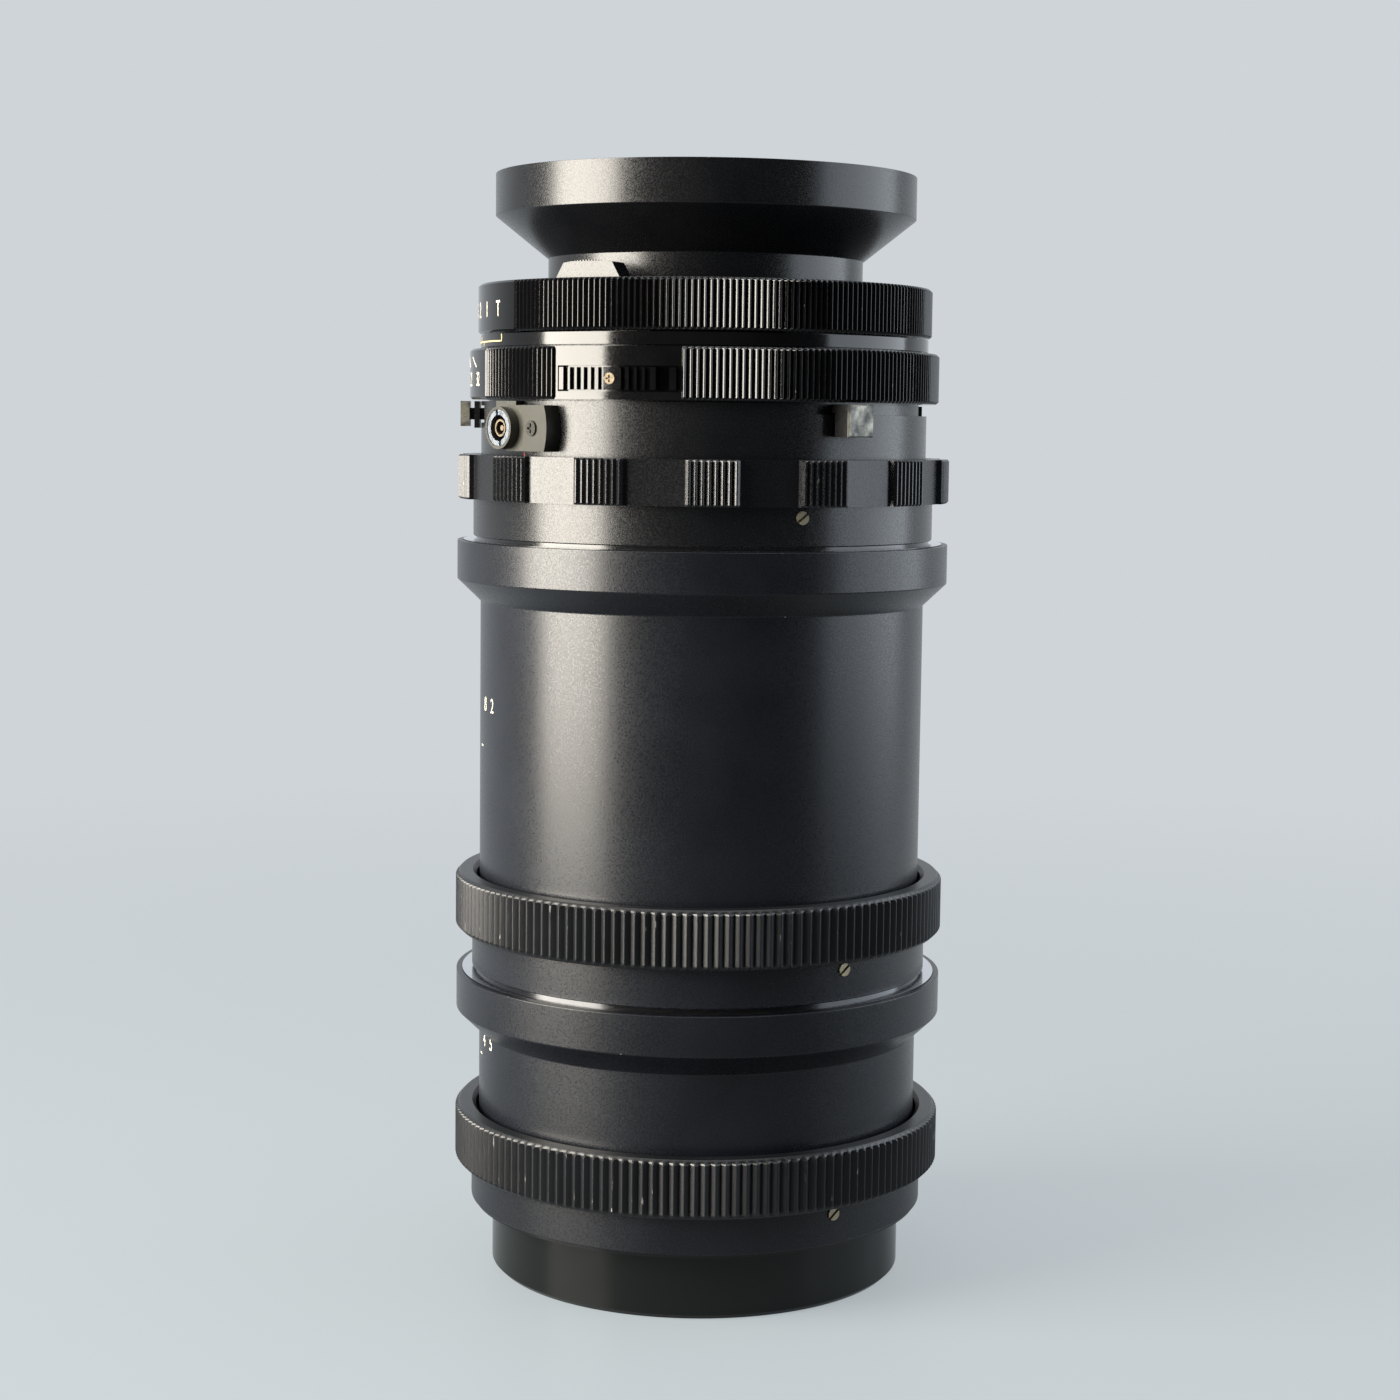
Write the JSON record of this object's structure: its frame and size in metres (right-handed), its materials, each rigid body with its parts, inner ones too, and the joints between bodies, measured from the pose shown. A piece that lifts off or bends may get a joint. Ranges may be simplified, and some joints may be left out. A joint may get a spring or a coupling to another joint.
{
  "type": "leaf-shutter camera lens on extension tubes",
  "caption": "Leaf-shutter camera lens with flared front rim and knurled control rings, standing front up on a long and a short extension tube with a rear cap.",
  "frame": {"origin": "centre of the rear cap's outer face, on the optical axis, where the stack stands", "axes": "+Z along the optical axis towards the front, -Y towards the side with the ring slider and flash socket, +X to the right of it"},
  "size_m": [0.0932, 0.0932, 0.2077],
  "materials": {
    "satin_black": "satin black anodised metal with fine grain",
    "gloss_black": "semi-gloss black enamel, engraved figures in ivory",
    "inner_black": "matt black anti-reflection coat",
    "chrome_ring": "bright chrome plated, turned",
    "cap_plastic": "gloss black moulded plastic",
    "brass_screw": "dull brass",
    "black_screw": "blackened steel",
    "insulator": "black moulded insulator",
    "blade_steel": "blued spring steel",
    "shutter_metal": "matt machined",
    "coated_glass": "coated optical glass"
  },
  "bodies": {
    "lens_stack": {"element_1": "coated_glass", "element_2": "coated_glass", "element_3": "coated_glass", "element_4": "coated_glass", "element_5": "coated_glass", "element_6": "coated_glass", "element_7": "coated_glass", "flash_plate": "satin_black", "flash_socket": "chrome_ring", "front_barrel": "satin_black", "front_cell": "inner_black", "front_retaining_ring": "gloss_black", "index_ring": "satin_black", "iris_plate": "shutter_metal", "lens_rear_mount": "chrome_ring", "lens_rear_skirt": "satin_black", "main_barrel": "satin_black", "main_spring": "shutter_metal", "plate_screw": "black_screw", "rear_cell": "inner_black", "rear_retaining_ring": "inner_black", "shutter_case": "shutter_metal", "shutter_cover": "shutter_metal", "skirt_screws": "brass_screw", "socket_contact": "brass_screw", "socket_insulator": "insulator", "tube_1_bayonet_ring": "chrome_ring", "tube_1_body": "satin_black", "tube_1_rear_mount": "chrome_ring", "tube_1_rear_skirt": "satin_black", "tube_2_bayonet_ring": "chrome_ring", "tube_2_body": "satin_black", "tube_2_rear_mount": "chrome_ring", "tube_2_rear_skirt": "satin_black"},
    "rear_cap": {"rear_cap": "cap_plastic"},
    "tube_1_lock_ring": {"tube_1_lock_ring": "satin_black"},
    "tube_2_lock_ring": {"tube_2_lock_ring": "satin_black"},
    "lens_lock_ring": {"lens_lock_ring": "satin_black"},
    "tube_1_cocking_drum": {"tube_1_cocking_drum": "inner_black"},
    "tube_2_cocking_drum": {"tube_2_cocking_drum": "inner_black"},
    "cocking_ring": {"cocking_ring": "inner_black"},
    "aperture_ring": {"aperture_ring": "gloss_black", "iris_cam_ring": "shutter_metal"},
    "ring_slider": {"ring_slider": "gloss_black", "slider_screw": "brass_screw"},
    "speed_ring": {"speed_ring": "gloss_black", "speed_tab": "satin_black"},
    "stop_down_lever": {"stop_down_lever": "satin_black"},
    "flash_selector": {"flash_selector": "satin_black"},
    "shutter_drive_ring": {"shutter_drive_ring": "shutter_metal"},
    "shutter_blade_1": {"shutter_blade_1": "blade_steel"},
    "iris_blade_1": {"iris_blade_1": "blade_steel"},
    "shutter_blade_2": {"shutter_blade_2": "blade_steel"},
    "iris_blade_2": {"iris_blade_2": "blade_steel"},
    "shutter_blade_3": {"shutter_blade_3": "blade_steel"},
    "iris_blade_3": {"iris_blade_3": "blade_steel"},
    "shutter_blade_4": {"shutter_blade_4": "blade_steel"},
    "iris_blade_4": {"iris_blade_4": "blade_steel"},
    "shutter_blade_5": {"shutter_blade_5": "blade_steel"},
    "iris_blade_5": {"iris_blade_5": "blade_steel"}
  },
  "joints": [
    {"name": "rear_cap_pull", "type": "slide", "parent": "lens_stack", "child": "rear_cap", "axis": [0, 0, -1], "range_m": [0, 0.03]},
    {"name": "tube_1_lock_turn", "type": "hinge", "parent": "lens_stack", "child": "tube_1_lock_ring", "pos_m": [0, 0, 0.026], "axis": [0, 0, 1], "range_deg": [-40, 0]},
    {"name": "tube_2_lock_turn", "type": "hinge", "parent": "lens_stack", "child": "tube_2_lock_ring", "pos_m": [0, 0, 0.071], "axis": [0, 0, 1], "range_deg": [-40, 0]},
    {"name": "lens_lock_turn", "type": "hinge", "parent": "lens_stack", "child": "lens_lock_ring", "pos_m": [0, 0, 0.151], "axis": [0, 0, 1], "range_deg": [-40, 0]},
    {"name": "cocking_turn", "type": "hinge", "parent": "lens_stack", "child": "cocking_ring", "pos_m": [0, 0, 0.143], "axis": [0, 0, 1], "range_deg": [0, 42]},
    {"name": "tube_1_drum_turn", "type": "hinge", "parent": "lens_stack", "child": "tube_1_cocking_drum", "pos_m": [0, 0, 0.035], "axis": [0, 0, 1], "range_deg": [0, 42]},
    {"name": "tube_2_drum_turn", "type": "hinge", "parent": "lens_stack", "child": "tube_2_cocking_drum", "pos_m": [0, 0, 0.098], "axis": [0, 0, 1], "range_deg": [0, 42]},
    {"name": "aperture_turn", "type": "hinge", "parent": "lens_stack", "child": "aperture_ring", "pos_m": [0, 0, 0.17], "axis": [0, 0, 1], "range_deg": [-42.5, 8.5]},
    {"name": "ring_slider_shift", "type": "hinge", "parent": "aperture_ring", "child": "ring_slider", "pos_m": [0, 0, 0.169], "axis": [0, 0, 1], "range_deg": [0, 2.6]},
    {"name": "speed_turn", "type": "hinge", "parent": "lens_stack", "child": "speed_ring", "pos_m": [0, 0, 0.182], "axis": [0, 0, 1], "range_deg": [-46.8, 31.2]},
    {"name": "stop_down_turn", "type": "hinge", "parent": "lens_stack", "child": "stop_down_lever", "pos_m": [0, 0, 0.162], "axis": [0, 0, 1], "range_deg": [0, 34], "stiffness_Nm_per_rad": 0.02},
    {"name": "flash_selector_turn", "type": "hinge", "parent": "lens_stack", "child": "flash_selector", "pos_m": [0, 0, 0.163], "axis": [0, 0, 1], "range_deg": [-16, 0]},
    {"name": "shutter_drive_turn", "type": "hinge", "parent": "lens_stack", "child": "shutter_drive_ring", "pos_m": [0, 0, 0.167], "axis": [0, 0, 1], "range_deg": [0, 24]},
    {"name": "shutter_blade_1_turn", "type": "hinge", "parent": "lens_stack", "child": "shutter_blade_1", "pos_m": [0.0265, 0, 0.1665], "axis": [0, 0, 1], "range_deg": [0, 42]},
    {"name": "iris_blade_1_turn", "type": "hinge", "parent": "lens_stack", "child": "iris_blade_1", "pos_m": [0.0265, 0, 0.1705], "axis": [0, 0, 1], "range_deg": [-5.8, 28.9]},
    {"name": "shutter_blade_2_turn", "type": "hinge", "parent": "lens_stack", "child": "shutter_blade_2", "pos_m": [0.00819, 0.0252, 0.1665], "axis": [0, 0, 1], "range_deg": [0, 42]},
    {"name": "iris_blade_2_turn", "type": "hinge", "parent": "lens_stack", "child": "iris_blade_2", "pos_m": [0.00819, 0.0252, 0.1705], "axis": [0, 0, 1], "range_deg": [-5.8, 28.9]},
    {"name": "shutter_blade_3_turn", "type": "hinge", "parent": "lens_stack", "child": "shutter_blade_3", "pos_m": [-0.02144, 0.01558, 0.1665], "axis": [0, 0, 1], "range_deg": [0, 42]},
    {"name": "iris_blade_3_turn", "type": "hinge", "parent": "lens_stack", "child": "iris_blade_3", "pos_m": [-0.02144, 0.01558, 0.1705], "axis": [0, 0, 1], "range_deg": [-5.8, 28.9]},
    {"name": "shutter_blade_4_turn", "type": "hinge", "parent": "lens_stack", "child": "shutter_blade_4", "pos_m": [-0.02144, -0.01558, 0.1665], "axis": [0, 0, 1], "range_deg": [0, 42]},
    {"name": "iris_blade_4_turn", "type": "hinge", "parent": "lens_stack", "child": "iris_blade_4", "pos_m": [-0.02144, -0.01558, 0.1705], "axis": [0, 0, 1], "range_deg": [-5.8, 28.9]},
    {"name": "shutter_blade_5_turn", "type": "hinge", "parent": "lens_stack", "child": "shutter_blade_5", "pos_m": [0.00819, -0.0252, 0.1665], "axis": [0, 0, 1], "range_deg": [0, 42]},
    {"name": "iris_blade_5_turn", "type": "hinge", "parent": "lens_stack", "child": "iris_blade_5", "pos_m": [0.00819, -0.0252, 0.1705], "axis": [0, 0, 1], "range_deg": [-5.8, 28.9]}
  ],
  "couplings": [
    {"joint": "tube_1_drum_turn", "follows": "cocking_turn", "ratio": 1},
    {"joint": "tube_2_drum_turn", "follows": "cocking_turn", "ratio": 1},
    {"joint": "shutter_blade_1_turn", "follows": "shutter_drive_turn", "ratio": 1.75},
    {"joint": "iris_blade_1_turn", "follows": "aperture_turn", "ratio": -0.68},
    {"joint": "shutter_blade_2_turn", "follows": "shutter_drive_turn", "ratio": 1.75},
    {"joint": "iris_blade_2_turn", "follows": "aperture_turn", "ratio": -0.68},
    {"joint": "shutter_blade_3_turn", "follows": "shutter_drive_turn", "ratio": 1.75},
    {"joint": "iris_blade_3_turn", "follows": "aperture_turn", "ratio": -0.68},
    {"joint": "shutter_blade_4_turn", "follows": "shutter_drive_turn", "ratio": 1.75},
    {"joint": "iris_blade_4_turn", "follows": "aperture_turn", "ratio": -0.68},
    {"joint": "shutter_blade_5_turn", "follows": "shutter_drive_turn", "ratio": 1.75},
    {"joint": "iris_blade_5_turn", "follows": "aperture_turn", "ratio": -0.68}
  ]
}
